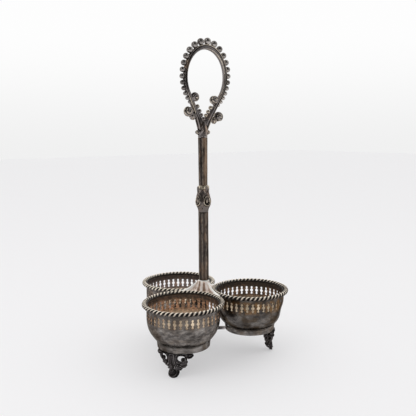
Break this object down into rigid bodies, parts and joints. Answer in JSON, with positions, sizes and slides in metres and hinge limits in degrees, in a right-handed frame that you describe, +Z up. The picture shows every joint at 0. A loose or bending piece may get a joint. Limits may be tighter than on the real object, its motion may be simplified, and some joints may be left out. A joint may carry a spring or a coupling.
{
  "type": "three-bottle decanter stand",
  "caption": "Pierced, rope-rimmed coaster bowls on scroll feet round a tall reeded stem with a beaded oval carrying ring, a stand for decanters or bottles.",
  "frame": {"origin": "on the surface that the stand rests on, under the middle of its outline; the stem's axis is at x = 0, y = -0.0157", "axes": "+Z up along the stem; the single bowl stands towards +Y and the pair of bowls towards -Y, one at -X and one at +X"},
  "size_m": [0.2136, 0.1992, 0.4222],
  "materials": {
    "tarnished_plate": "spun sheet, silver plated, heavily tarnished and mottled, worn to copper inside the bowls",
    "bright_plate": "silver plate rubbed bright on its high parts and dark in its grooves",
    "cast_plate": "cast and silver plated, tarnished nearly black with worn bright edges",
    "dark_steel": "turned steel, dull and dark"
  },
  "bodies": {
    "root": {"left_bowl": "tarnished_plate", "left_rope_rim": "bright_plate", "left_collar_ring": "tarnished_plate", "left_scroll_foot": "cast_plate", "right_bowl": "tarnished_plate", "right_rope_rim": "bright_plate", "right_collar_ring": "tarnished_plate", "right_scroll_foot": "cast_plate", "rear_bowl": "tarnished_plate", "rear_rope_rim": "bright_plate", "rear_collar_ring": "tarnished_plate", "rear_scroll_foot": "cast_plate", "domed_hub": "bright_plate", "lower_stem": "cast_plate", "stem_knop": "cast_plate", "upper_stem": "cast_plate", "carrying_handle": "cast_plate", "tie_rod": "dark_steel", "centre_pillar": "dark_steel", "base_straps": "cast_plate", "clamp_washer": "dark_steel", "clamp_nut": "dark_steel"}
  },
  "joints": []
}
